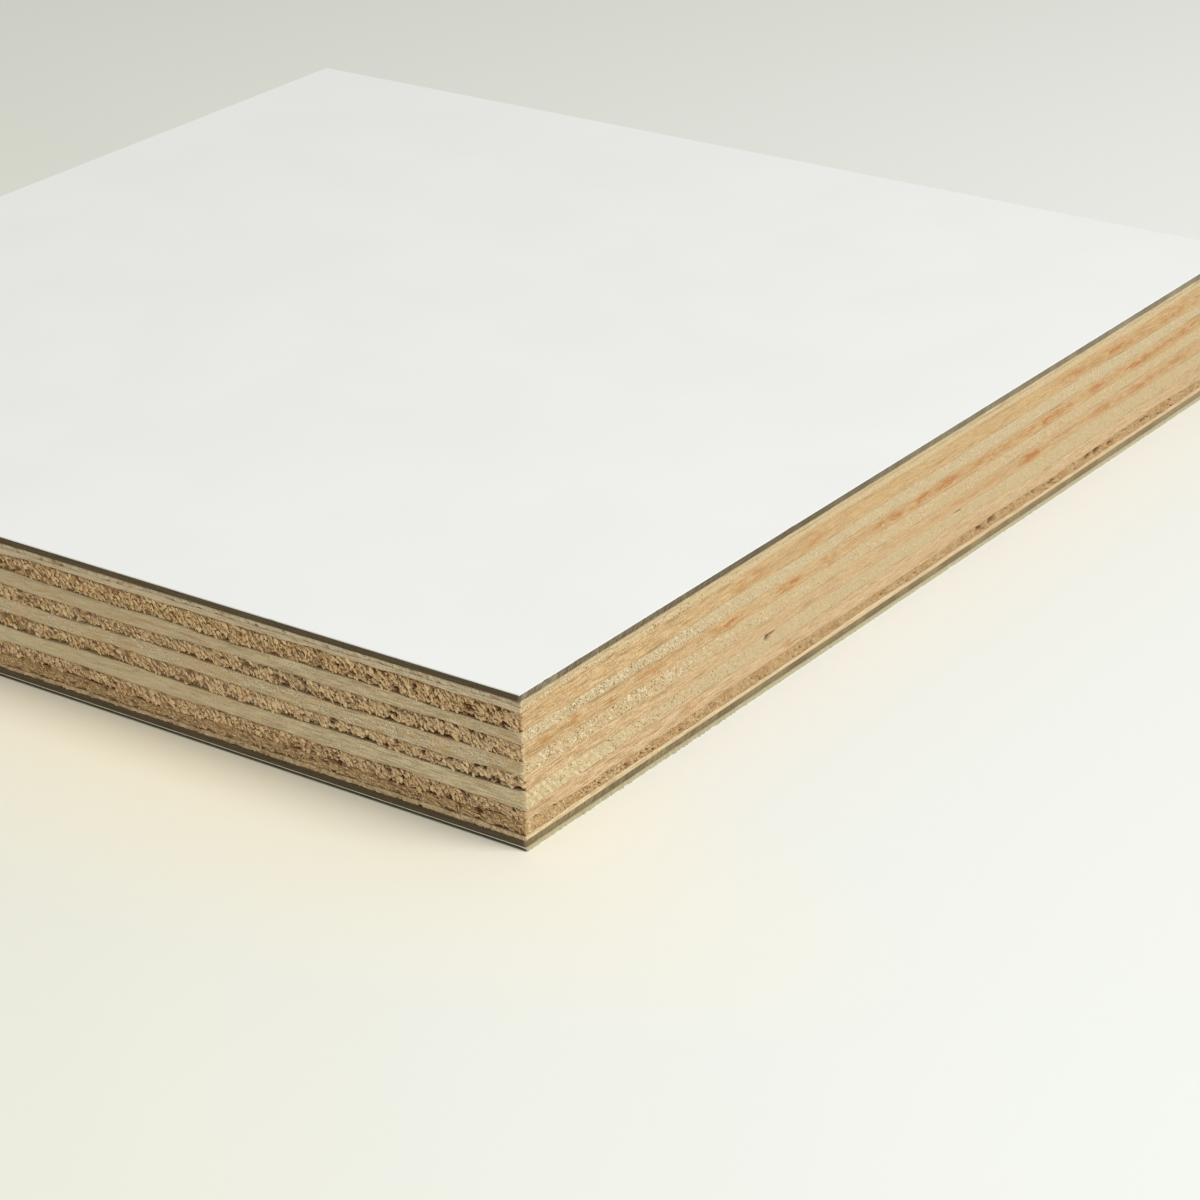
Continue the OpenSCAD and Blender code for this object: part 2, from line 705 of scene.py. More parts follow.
@dataclass(frozen=True)
class WoodFinish:
    """Bare wood whose pattern is solid, so that the same fibres show on every cut edge of a veneer."""

    name: str
    pale: str
    tan: str
    grain: Grain
    bleached: str
    pore: str = "#654421"
    # Painted shade: the colour that deep places of an edge darken to.
    deep: str = "#5c3413"
    stain: str = "#b9804a"
    end_pores: float = 0.9
    end_tint: float = 0.0
    end_colour: str = "#d4b27a"
    fine_contrast: float = 0.62
    long_pores: float = 0.22
    growth_lines: float = 0.26
    fibre_length: float = 18.0
    wisp_length: float = 5.0
    vessel_length: float = 9.0
    vessel_lean: float = 40.0
    roughness: float = 0.82
    specular: float = 0.2

    def stretched(self, length: float) -> Place:
        """A pattern's size that is 1 across the grain and that long along it."""
        return (length, 1.0, 1.0) if self.grain is Grain.ALONG_X else (1.0, length, 1.0)

    def make(self) -> bpy.types.Material:
        """Build the material.

        Returns:
            Wood that reads the veneer's relief, stain, tone, pale, ends and crisp values; the relief value
            paints shade in deep places.
        """
        graph = NodeGraph(self.name)
        fibres = graph.millimetres(self.stretched(self.fibre_length))
        wisps = graph.millimetres(self.stretched(self.wisp_length))
        leans = self.grain is Grain.ALONG_Y
        dash = (1.7, self.vessel_length, 0.7) if leans else self.stretched(self.vessel_length)
        vessels = graph.millimetres(dash, self.vessel_lean if leans else 0.0)
        ends, crisp = graph.attribute("ends"), graph.attribute("crisp")
        fine = graph.noise(fibres, 6.0, 3.0, 0.75)
        grit = graph.noise(graph.millimetres(), 3.4, 2.0, 0.8)
        broad = graph.noise(fibres, 0.7, 1.0)
        mottle = graph.ramp(graph.math("ADD", fine, grit), 0.84, 1.16, -0.5, 0.5)
        mottle = graph.times(mottle, graph.ramp(crisp, 0.35, 1.5, 0.65, 1.3))
        colour = graph.mix(graph.math("ADD", mottle, 0.5), self.pale, self.tan)
        colour = graph.mix(graph.ramp(broad, 0.4, 0.75, 0.0, 0.3), colour, self.tan)
        flecks = graph.ramp(graph.noise(vessels, 2.3, 2.0, 0.6), 0.54, 0.68, 0.0, 0.75)
        colour = graph.mix(graph.times(flecks, ends), colour, self.bleached)
        lines = graph.ramp(graph.noise(fibres, 2.3, 2.0, 0.7), 0.53, 0.68, 0.0, self.growth_lines)
        lines = graph.times(lines, graph.ramp(crisp, 0.35, 1.5, 0.75, 1.2))
        colour = graph.mix(graph.times(lines, graph.ramp(ends, 0.0, 0.3, 1.0, 0.0)), colour, self.pore)
        colour = graph.mix(graph.ramp(ends, 0.0, 0.3, 0.0, self.end_tint), colour, self.end_colour)
        clusters = graph.ramp(graph.noise(fibres, 0.9, 1.0), 0.35, 0.65, 0.3, 1.0)
        pores = graph.times(graph.dots(vessels, 3.0, 0.46, 0.42), clusters)
        pores = graph.times(pores, graph.ramp(ends, 0.0, 1.5, self.long_pores, self.end_pores))
        colour = graph.mix(pores, colour, self.pore)
        patchy = graph.ramp(graph.noise(wisps, 2.2, 3.0, 0.8), 0.4, 0.6, 0.1, 1.3)
        colour = graph.mix(graph.times(graph.attribute("stain"), patchy), colour, self.stain)
        colour = graph.mix(graph.attribute("pale"), colour, self.bleached)
        colour = graph.mix(graph.attribute("tone"), colour, self.pore)
        uneven = graph.times(graph.math("SUBTRACT", 0.5, fine), graph.times(crisp, self.fine_contrast))
        bright = graph.math("ADD", uneven, 1.0)
        scaled = graph.add("ShaderNodeVectorMath", {0: colour, "Scale": bright}, operation="SCALE")
        # Painted shade: mixed towards the deep colour by the mesh's relief value, in recesses and pits.
        colour = graph.mix(graph.attribute("relief"), scaled.outputs["Vector"], self.deep)
        normal = graph.bump(fine, 0.06, 0.6)
        roughness = graph.ramp(fine, 0.2, 0.8, self.roughness - 0.08, self.roughness + 0.08)
        return graph.finish(colour, roughness, normal, self.specular)


@dataclass(frozen=True)
class KraftFinish:
    """Resin-bonded kraft paper, cut through, with slanting saw scratches where the mesh asks for them; their
    lightness is partly real scratches and partly a painted sheen.
    """

    name: str = "top_kraft_cut"
    body: str = "#615136"
    dark: str = "#493c25"
    # Saw scratches together with a painted sheen: the colour that the front and back edges lighten to.
    scratch_and_sheen: str = "#9a8f76"
    least: float = 0.12
    even_mark: float = 0.55
    roughness: float = 0.62
    specular: float = 0.35

    def make(self) -> bpy.types.Material:
        """Build the material.

        Returns:
            Kraft paper that reads the core's values for saw scratches with painted sheen, and for evening
            them out.
        """
        graph = NodeGraph(self.name)
        plies = graph.noise(graph.millimetres((30.0, 30.0, 1.0)), 7.0, 3.0, 0.6)
        specks = graph.noise(graph.millimetres(), 3.0, 3.0, 0.6)
        hatch = graph.noise(graph.millimetres((1.4, 1.4, 0.26), turn_y=-50.0), 1.0, 3.0, 0.7)
        worn = graph.noise(graph.millimetres(), 0.22, 2.0)
        colour = graph.mix(graph.ramp(plies, 0.3, 0.7), self.dark, self.body)
        colour = graph.mix(graph.ramp(specks, 0.5, 0.8, 0.0, 0.5), colour, self.dark)
        marks = graph.ramp(hatch, 0.38, 0.62, self.least, 1.1)
        evened = graph.times(graph.attribute("even"), graph.math("SUBTRACT", self.even_mark, marks))
        marks = graph.times(graph.math("ADD", marks, evened), graph.ramp(worn, 0.35, 0.65, 0.6, 1.0))
        # Saw scratches and painted sheen: lighter where the mesh asks for it.
        marks = graph.times(graph.attribute("scratch_and_sheen"), marks)
        colour = graph.mix(marks, colour, self.scratch_and_sheen)
        normal = graph.bump(specks, 0.05, 0.5)
        normal = graph.bump(marks, 0.03, 0.5, normal)
        roughness = graph.ramp(specks, 0.3, 0.7, self.roughness - 0.1, self.roughness + 0.1)
        return graph.finish(colour, roughness, normal, self.specular)


@dataclass(frozen=True)
class DecorFinish:
    """White melamine decor paper with a fine satin press texture, greyed by sawdust and painted shade where
    the mesh asks for it.
    """

    name: str = "white_decor"
    white: str = "#f4f5f0"
    shade: str = "#f2f3ee"
    # Sawdust and painted shade: the grey that cut edges turn to.
    dust_and_shade: str = "#bbb18d"
    roughness: float = 0.42
    specular: float = 0.35

    def make(self) -> bpy.types.Material:
        """Build the material.

        Returns:
            White decor paper that the layer's mesh greys with sawdust and painted shade.
        """
        graph = NodeGraph(self.name)
        plain = graph.millimetres()
        cloud = graph.noise(plain, 0.05, 1.0)
        pearl = graph.noise(plain, 2.4, 1.0)
        colour = graph.mix(graph.ramp(cloud, 0.3, 0.7), self.white, self.shade)
        # Sawdust and painted shade: greyed in patches where the mesh asks for it.
        dusty = graph.ramp(graph.noise(plain, 1.6, 1.0, 0.7), 0.1, 0.5, 0.6, 1.0)
        colour = graph.mix(graph.times(graph.attribute("dust_and_shade"), dusty), colour, self.dust_and_shade)
        normal = graph.bump(pearl, 0.02, 0.25)
        roughness = graph.ramp(pearl, 0.3, 0.7, self.roughness - 0.05, self.roughness + 0.05)
        return graph.finish(colour, roughness, normal, self.specular)


@dataclass(frozen=True)
class FloorFinish:
    """Matt white paper, warmer on the left; greyer towards the back as painted falloff of light, lighter
    beside the sheet's left edge as painted warm bounce light, and darker under the sheet as a painted shadow.
    """

    name: str = "floor_paper"
    warm: str = "#efeede"
    cool: str = "#eff1eb"
    # Painted shade: the grey that the floor turns to towards the back.
    painted_falloff: str = "#dfe1d6"
    # Painted warm bounce light: the colour that lightens the floor's shadow beside the sheet's left edge.
    beside: str = "#faf3da"
    painted_bounce_middle: Place = (-93.0, -32.0, 0.0)
    painted_bounce_reach: Place = (36.0, 115.0, 10.0)
    # Painted shadow: the dark colour of the floor in the gap under the sheet.
    under: str = "#8c8672"
    painted_shadow_reach: float = 87.8
    roughness: float = 0.85
    specular: float = 0.15

    def make(self) -> bpy.types.Material:
        """Build the material.

        Returns:
            Paper that changes slowly over the floor.
        """
        graph = NodeGraph(self.name)
        place = graph.millimetres()
        tooth = graph.noise(place, 1.5, 0.0)
        colour = graph.mix(graph.ramp(graph.way(place, (1.0, -1.0, 0.0)), -140.0, 70.0), self.warm, self.cool)
        # Painted shade: greyer towards the back, where the light falls off.
        colour = graph.mix(graph.ramp(graph.way(place, (0.4, 1.0, 0.0)), -150.0, 420.0), colour, self.painted_falloff)
        # Painted warm bounce light: a round patch beside the sheet's left edge, lighter and warmer where its
        # shadow falls.
        painted_bounce_place = graph.millimetres(self.painted_bounce_reach, middle=self.painted_bounce_middle)
        near = graph.add("ShaderNodeTexGradient", {"Vector": painted_bounce_place}, gradient_type="SPHERICAL")
        colour = graph.mix(near.outputs["Fac"], colour, self.beside)
        # Painted shadow: darker within the sheet's outline, seen in the gap under its edges.
        apart = graph.add("ShaderNodeVectorMath", {0: place}, operation="ABSOLUTE").outputs["Vector"]
        parts = graph.add("ShaderNodeSeparateXYZ", {"Vector": apart}).outputs
        furthest = graph.math("MAXIMUM", parts["X"], parts["Y"])
        below = graph.ramp(furthest, self.painted_shadow_reach + 0.3, self.painted_shadow_reach - 0.1)
        colour = graph.mix(below, colour, self.under)
        return graph.finish(colour, self.roughness, graph.bump(tooth, 0.02, 0.2), self.specular)


def points_of(mesh: bpy.types.Mesh) -> Array:
    """All of a mesh's points, in metres."""
    points = np.zeros(len(mesh.vertices) * 3)
    mesh.vertices.foreach_get("co", points)
    return points.reshape(-1, 3)


def write_points(mesh: bpy.types.Mesh, points: Array) -> None:
    """Move a mesh's points."""
    mesh.vertices.foreach_set("co", points.astype(np.float32).ravel())
    mesh.update()


def keep_values(mesh: bpy.types.Mesh, values: Values) -> None:
    """Keep named numbers at each point of a mesh, for its material to read."""
    for name, numbers in values.items():
        attribute = mesh.attributes.new(name, "FLOAT", "POINT")
        attribute.data.foreach_set("value", numbers.astype(np.float32))


@dataclass
class SheetLayer:
    """One flat layer of the sheet, with its four edges divided finely enough to take relief."""

    node: str
    slot: str
    seed: int
    column: float = 0.5
    row: float = 0.2
    corner_wear: float = 1.6
    strips: int = 4
    strips_apart: float = 0.010
    map_start: float = 0.03
    map_span: float = 0.94
    flat_size: float = 0.04
    flat_height: float = 0.955
    flat_step: float = 0.06

    low: Vector = field(init=False)
    high: Vector = field(init=False)

    def __post_init__(self) -> None:
        """Take the layer's place from its CAD node."""
        self.low, self.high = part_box(self.node)

    @property
    def thickness(self) -> float:
        """Height of the layer."""
        return (self.high.z - self.low.z) / MM

    def length(self, side: Side) -> float:
        """Length of an edge."""
        span = self.high - self.low
        return (span.y if side.faces_x else span.x) / MM

    def reach(self, side: Side) -> float:
        """Distance of an edge from the sheet's middle."""
        return self.length(side.neighbour(1)) / 2

    def column_width(self, side: Side) -> float:
        """Width of a face on an edge."""
        return self.column

    def columns(self, side: Side) -> int:
        """Number of faces along an edge."""
        return max(1, round(self.length(side) / self.column_width(side) / self.strips)) * self.strips

    def noise(self, side: Side) -> LatticeNoise:
        """The layer's own noise on an edge."""
        return LatticeNoise(self.seed * 8 + side.place)

    def relief(self, at: Spots) -> Array:
        """Depth of an edge behind the sheet's outline.

        Args:
            at: Places on the edge.

        Returns:
            One depth for each place.
        """
        return np.zeros_like(at.u)

    def walls(self) -> bmesh.types.BMesh:
        """Make the layer as a box whose edges are grids and whose two faces are whole.

        Returns:
            A closed mesh, with its two faces last.
        """
        bm = bmesh.new()
        bmesh.ops.create_cube(bm, size=1.0)
        bmesh.ops.scale(bm, vec=self.high - self.low, verts=bm.verts)
        bmesh.ops.translate(bm, vec=(self.low + self.high) / 2, verts=bm.verts)
        bm.normal_update()
        flats = [f for f in bm.faces if abs(f.normal.z) > 0.5]
        bmesh.ops.delete(bm, geom=flats, context="FACES_ONLY")
        counts = {
            2: max(1, round(self.thickness / self.row)),
            0: self.columns(Side.FRONT),
            1: self.columns(Side.LEFT),
        }
        for axis, count in counts.items():
            lines = [e for e in bm.edges if abs(e.verts[0].co[axis] - e.verts[1].co[axis]) > 1e-7]
            if count > 1:
                bmesh.ops.subdivide_edges(bm, edges=lines, cuts=count - 1, use_grid_fill=True)
        for face in bm.faces:
            face.smooth = True
        rims = [e for e in bm.edges if e.is_boundary]
        bmesh.ops.holes_fill(bm, edges=rims, sides=0)
        for edge in rims:
            edge.smooth = False
        return bm

    def spots_on(self, side: Side, points: Array) -> Spots:
        """Read points, in metres, as places on an edge."""
        u = points @ side.along / MM + self.length(side) / 2
        return Spots(side, u, (points[:, 2] - self.low.z) / MM)

    def lies_on(self, side: Side, points: Array) -> Array:
        """Tell which points lie in the plane of an edge."""
        return points @ side.normal / MM > self.reach(side) - 1e-3

    def carve(self, points: Array) -> tuple[Array, Array]:
        """Sink the edges' points by their relief, and draw the points beside a worn corner after it.

        Args:
            points: The plain box's points, in metres.

        Returns:
            The moved points, and each point's depth.
        """
        moved, depth = points.copy(), np.zeros(len(points))
        for side in Side:
            on = self.lies_on(side, points)
            sunk = self.relief(self.spots_on(side, points[on]))
            moved[on] -= np.outer(sunk * MM, side.normal)
            depth[on] = np.maximum(depth[on], sunk)
            for step, corner_u in ((-1, 0.0), (1, self.length(side))):
                other = side.neighbour(step)
                beside = on & ~self.lies_on(other, points)
                at = self.spots_on(side, points[beside])
                other_u = np.full_like(at.h, self.length(other) if step < 0 else 0.0)
                worn = self.relief(Spots(other, other_u, at.h))
                share = np.clip(1 - np.abs(at.u - corner_u) / self.corner_wear, 0.0, 1.0)
                moved[beside] -= np.outer(worn * share * MM, other.normal)
        return moved, depth

    def wall_sides(self, mesh: bpy.types.Mesh) -> Array:
        """Find which edge each face of a plain box lies on.

        Args:
            mesh: The plain box's mesh.

        Returns:
            Places on the walk round the sheet, or -1 on the two faces.
        """
        normals = np.zeros(len(mesh.polygons) * 3, np.float32)
        mesh.polygons.foreach_get("normal", normals)
        normals = normals.reshape(-1, 3)
        sides = np.full(len(normals), -1)
        for side in Side:
            sides[normals @ side.normal > 0.5] = side.place
        return sides

    def lay_out(self, mesh: bpy.types.Mesh, points: Array, sides: Array) -> None:
        """Give the mesh its bake map: strips of the four edges, one above the other, and the two faces small.

        Args:
            mesh: The layer's mesh.
            points: The points to read places from, in metres.
            sides: The place of each face's edge on the walk round the sheet, or -1 on the two faces.
        """
        totals = np.zeros(len(mesh.polygons), np.int32)
        mesh.polygons.foreach_get("loop_total", totals)
        corners = np.zeros(len(mesh.loops), np.int32)
        mesh.loops.foreach_get("vertex_index", corners)
        starts = np.concatenate([[0], np.cumsum(totals)[:-1]])
        middle = np.add.reduceat(points[corners], starts) / totals[:, None]
        strip_length = max(self.length(s) for s in Side) / self.strips
        rows = self.strips * len(Side)
        scale = min(self.map_span / strip_length, (self.map_span / rows - self.strips_apart) / self.thickness)
        pitch = scale * self.thickness + self.strips_apart
        places = np.zeros((len(corners), 2))
        corner_side = np.repeat(sides, totals)
        for side in Side:
            on = corner_side == side.place
            at = self.spots_on(side, points[corners[on]])
            middle_u = np.repeat(self.spots_on(side, middle).u, totals)[on]
            strip = np.clip(middle_u // strip_length, 0, self.strips - 1)
            places[on, 0] = self.map_start + (at.u - strip * strip_length) * scale
            places[on, 1] = (side.place * self.strips + strip) * pitch + self.strips_apart / 2 + at.h * scale
        flat = corner_side < 0
        corner_z = np.repeat(middle[:, 2], totals)[flat]
        span = np.array((self.high - self.low)[:2])
        share = (points[corners[flat]][:, :2] - np.array(self.low[:2])) / span
        places[flat] = share * self.flat_size + np.array([self.map_start, self.flat_height])
        places[flat, 0] += np.where(corner_z > (self.low.z + self.high.z) / 2, self.flat_step, 0.0)
        layer = mesh.uv_layers.new(name=BAKE_MAP)
        layer.data.foreach_set("uv", places.astype(np.float32).ravel())

    def register(self, mesh: bpy.types.Mesh, material: bpy.types.Material) -> bpy.types.Object:
        """Make the finished mesh a piece that stands for the layer's CAD node.

        Args:
            mesh: The finished mesh.
            material: Its finish.

        Returns:
            The new piece.
        """
        mesh.materials.append(material)
        piece = link(mesh.name, mesh)
        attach(piece, "root")
        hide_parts(self.node)
        return piece


@dataclass
class TuftField:
    """The tufts of one kind on one edge, with one number of each sort for each tuft."""

    side: Side
    kind: Tufts
    u: Array
    h: Array
    depth: Array
    length: Array
    width: Array
    lean: Array
    lift: Array
    roll: Array
    tone: Array
    pale: Array
    dents: np.random.Generator

    def points(self, shape: Array) -> Array:
        """Lay a tuft's shape down once for each tuft, each time a little uneven.

        Args:
            shape: The points of the shape.

        Returns:
            Rows of u, h and height over the outline, one block of rows for each tuft.
        """
        dented = shape + self.dents.normal(0, self.kind.uneven, (len(self.u), *shape.shape))
        x = dented[..., 0] * self.length[:, None]
        flat = dented[..., 1] * self.width[:, None]
        stout = dented[..., 2] * self.width[:, None] * self.kind.stout
        cr, sr = np.cos(self.roll)[:, None], np.sin(self.roll)[:, None]
        ca, sa = np.cos(self.lean)[:, None], np.sin(self.lean)[:, None]
        cl, sl = np.cos(self.lift)[:, None], np.sin(self.lift)[:, None]
        y, z = flat * cr - stout * sr, flat * sr + stout * cr
        u = self.u[:, None] + x * ca * cl - y * sa - z * ca * sl
        h = self.h[:, None] + x * sa * cl + y * ca - z * sa * sl
        out = -self.depth[:, None] + x * sl + z * cl
        return np.stack([u, h, out], axis=-1).reshape(-1, 3)


@dataclass
class Veneer(SheetLayer):
    """One wood veneer, with a cut of its own across and along its fibres."""

    finish: Optional[WoodFinish] = None
    across: Cut = Cut.SAWN_END
    lengthwise: Cut = Cut.SAWN_LONG
    end_column: float = 0.25
    # Painted shade: the depths over which an edge darkens.
    shaded_depths: Span = (0.22, 0.52)
    corner_share: float = 0.3
    corner_reach: float = 0.9
    rim_tone: float = 0.3
    end_shade: float = 0.0
    rim_width: float = 0.07
    near_grain: float = 1.5
    far_grain: float = 0.35
    grain_reach: Span = (58.0, 12.0)
    # Painted shade: how dark deep places turn, more so by the front corner, and how dark pits turn.
    least_dark: float = 0.47
    crisp_dark: float = 0.44
    pit_dark: float = 0.6
    pit_depths: Span = (0.1, 0.45)
    flush: float = 0.45
    stains: tuple[Stain, ...] = ()
    pits: tuple[Pit, ...] = ()
    streaks: Optional[SawStreaks] = None
    seam_above: Optional[Seam] = None
    seam_below: Optional[Seam] = None

    def shows_ends(self, side: Side) -> bool:
        """Whether an edge shows the ends of the fibres."""
        return self.finish.grain.ends_on(side)

    def cut(self, side: Side) -> EdgeCut:
        """The cut that the saw left on an edge."""
        return (self.across if self.shows_ends(side) else self.lengthwise).value

    def column_width(self, side: Side) -> float:
        """Width of a face on an edge, finer across the grain."""
        return self.end_column if self.shows_ends(side) else self.column

    def relief(self, at: Spots) -> Array:
        """Depth of an edge behind the sheet's outline, with its pits.

        Args:
            at: Places on the edge.

        Returns:
            One depth for each place.
        """
        depth = self.cut(at.side).relief(at.u, at.h, self.thickness, self.noise(at.side))
        from_corner = np.minimum(at.u, self.length(at.side) - at.u)
        inner = smooth_step(0.0, self.corner_reach, from_corner)
        depth *= self.corner_share + (1 - self.corner_share) * inner
        return depth + self.pitted(at)

    def pitted(self, at: Spots) -> Array:
        """Depth of the pits of an edge, which the photo shows on the front one alone.

        Args:
            at: Places on the edge.

        Returns:
            One depth for each place, below 0 on a lip.
        """
        depth = np.zeros_like(at.u)
        if at.side is not Side.FRONT:
            return depth
        ragged = 0.35 * (self.noise(at.side).fractal(at.u / 0.5, at.h / 0.5) - 0.5)
        for pit in self.pits:
            away = np.hypot((at.u - pit.u) / pit.half_length, (at.h - pit.h) / pit.half_height) + ragged
            depth += pit.depth * smooth_step(1.0, 0.55, away)
        return depth

    def bend(self, points: Array) -> Array:
        """Bend the veneer to its seams.

        Args:
            points: Points of the flat veneer, in metres.

        Returns:
            The moved points.
        """
        share = np.clip((points[:, 2] - self.low.z) / (self.high.z - self.low.z), 0.0, 1.0)
        bent = points.copy()
        for seam, part in ((self.seam_above, share), (self.seam_below, 1 - share)):
            if seam is not None:
                bent[:, 2] += part * seam.rise(points)
        return bent

    def stain_at(self, at: Spots) -> Array:
        """Strength of the gum streaks on an edge.

        Args:
            at: Places on the edge.

        Returns:
            Strengths from 0 to 1.
        """
        noise = self.noise(at.side)
        if self.shows_ends(at.side):
            flushed = smooth_step(0.52, 0.74, noise.fractal(at.u / 2.4 + 11.0, at.h / 1.0))
            return flushed * (self.flush if self.cut(at.side).lumps else 0.0)
        total = np.zeros_like(at.u)
        warp = 2.4 * (noise.fractal(at.u / 3.0, at.h / 0.8) - 0.5)
        for stain in self.stains if at.side in SHOWN_SIDES else self.drawn_stains(at.side):
            beside = (at.u + warp - stain.u) / stain.reach
            above = (at.h / self.thickness - stain.height) / stain.spread
            total += stain.strength * smooth_step(1.25, 0.15, np.hypot(beside, above))
        return np.clip(total, 0.0, 1.0)

    def drawn_stains(self, side: Side) -> list[Stain]:
        """Draw the gum streaks of an edge that the photo hides, as many as the one across the sheet has."""
        rng = np.random.default_rng(self.seed * 31 + side.place)
        length = self.length(side)
        return [
            Stain(rng.uniform(0, length), s.reach, rng.uniform(0.3, 0.7), s.strength * 0.8, s.spread)
            for s in self.stains
        ]

    def rims(self, at: Spots) -> Array:
        """How dark the veneer's two glue lines are, broken up along an edge and fainter on the long ones.

        Args:
            at: Places on the edge.

        Returns:
            Strengths from 0, away from the glue lines, to 1.
        """
        total = np.zeros_like(at.u)
        for line, away in enumerate((at.h, self.thickness - at.h)):
            gaps = self.noise(at.side).fractal(at.u / 2.5, np.full_like(at.u, 20.5 + 9 * line))
            broken = smooth_step(0.4, 0.7, gaps)
            strength = 0.3 + 0.7 * broken if at.side.faces_x else 0.6 * broken
            total += strength * band(away, self.rim_width)
        return total

    def values_on(self, at: Spots, depth: Array) -> Values:
        """Work out what the material reads on an edge.

        Args:
            at: Places on the edge.
            depth: Depths behind the outline.

        Returns:
            The relief, stain, tone, pale, ends and crisp values of each place; the relief value is painted
            shade, darker in deep places and pits.
        """
        cut, shows_ends = self.cut(at.side), self.shows_ends(at.side)
        shade = self.end_shade if shows_ends else 0.0
        crisp = self.crispness(at)
        # Painted shade: deep places darken, more so by the front corner, and pits darken too.
        dark = smooth_step(*self.shaded_depths, depth) * (self.least_dark + self.crisp_dark * crisp)
        pits = self.pit_dark * smooth_step(*self.pit_depths, self.pitted(at))
        return {
            "relief": np.maximum(np.minimum(dark, 1.0), pits),
            "stain": self.stain_at(at),
            "tone": cut.shade(at.u, at.h, self.noise(at.side)) + self.rim_tone * self.rims(at) + shade,
            "pale": self.paleness(at),
            "ends": crisp * float(shows_ends),
            "crisp": crisp,
        }

    def crispness(self, at: Spots) -> Array:
        """How strongly the grain shows along an edge, most by the front corner.

        Args:
            at: Places on the edge.

        Returns:
            One strength for each place, 1 on the edges that the photo hides.
        """
        if at.side not in SHOWN_SIDES:
            return np.ones_like(at.u)
        from_corner = at.u if at.side is Side.FRONT else self.length(at.side) - at.u
        near = smooth_step(*self.grain_reach, from_corner)
        return self.far_grain + (self.near_grain - self.far_grain) * near

    def gathering(self, at: Spots) -> Array:
        """How thickly loose fibres gather at each place, from 0 to 1."""
        return self.noise(at.side).fractal(at.u / 1.7 + 5.0, at.h / 0.9)

    def paleness(self, at: Spots) -> Array:
        """How pale an edge is where saw teeth or gathered fibres mark it.

        Args:
            at: Places on the edge.

        Returns:
            One strength for each place, from 0 to 1.
        """
        if self.streaks is not None and at.side is Side.FRONT:
            return self.streaks.strength(at.u, at.h, self.noise(at.side))
        total = np.zeros_like(at.u)
        for kind in self.cut(at.side).tufts:
            if kind.gathered:
                total += 0.22 * smooth_step(kind.gathered - 0.08, kind.gathered + 0.12, self.gathering(at))
        return total

    def scatter(self, side: Side, kind: Tufts) -> TuftField:
        """Scatter tufts of one kind evenly over an edge, with seeded chance.

        Args:
            side: The edge.
            kind: The kind of tuft.

        Returns:
            The tufts that lie on the edge and not over its holes.
        """
        rng = np.random.default_rng([self.seed, side.place, int(kind.per_mm2 * 100)])
        length, height = self.length(side), self.thickness
        count = int(kind.per_mm2 * length * height)
        u = (np.arange(count) + rng.uniform(0, 1, count)) / count * (length - 0.6) + 0.3
        steps = np.arange(count) * GOLDEN_SHARE + rng.uniform(0, 0.2, count)
        size = rng.uniform(*kind.length, count)
        lean = np.radians(rng.normal(kind.lean, kind.spread, count))
        margin = np.maximum(kind.margin, np.minimum(0.45 * size * np.abs(np.sin(lean)), 0.4 * height))
        h = steps % 1.0 * (height - 2 * margin) + margin
        reaches = (-0.4 * size, 0.0 * size, 0.4 * size)
        depths = [self.relief(Spots(side, u + r * np.cos(lean), h + r * np.sin(lean))) for r in reaches]
        kept = np.max(depths, axis=0) < kind.not_below
        kept &= self.gathering(Spots(side, u, h)) >= kind.gathered
        u, h, size, lean, count = u[kept], h[kept], size[kept], lean[kept], int(kept.sum())
        lift = np.radians(rng.uniform(*kind.lift, count))
        return TuftField(
            side=side, kind=kind, u=u, h=h, length=size, width=rng.uniform(*kind.width, count), lean=lean,
            lift=lift, depth=depths[1][kept] - kind.raised - 0.25 * size * np.abs(np.sin(lift)),
            roll=np.radians(rng.uniform(-kind.roll, kind.roll, count)), tone=rng.uniform(*kind.tone, count),
            pale=rng.uniform(*kind.pale, count), dents=rng,
        )

    def lay_tufts(self, tufts: TuftField, shape: Array) -> tuple[Array, Values]:
        """Place the points of one field of tufts.

        Args:
            tufts: The field.
            shape: The points of one tuft's shape.

        Returns:
            Points in metres, and what the material reads at each.
        """
        side = tufts.side
        u, h, out = tufts.points(shape).T
        points = (
            np.outer((u - self.length(side) / 2) * MM, side.along)
            + np.outer((out + self.reach(side)) * MM, side.normal)
            + np.outer(h * MM + self.low.z, (0.0, 0.0, 1.0))
        )
        # Painted shade: the deeper points of each tuft darken as the edge does.
        values = self.values_on(Spots(side, u, h), -out)
        values["tone"] = np.repeat(np.maximum(tufts.tone, 0.0), len(shape))
        values["pale"] = np.repeat(tufts.pale, len(shape))
        return points, values

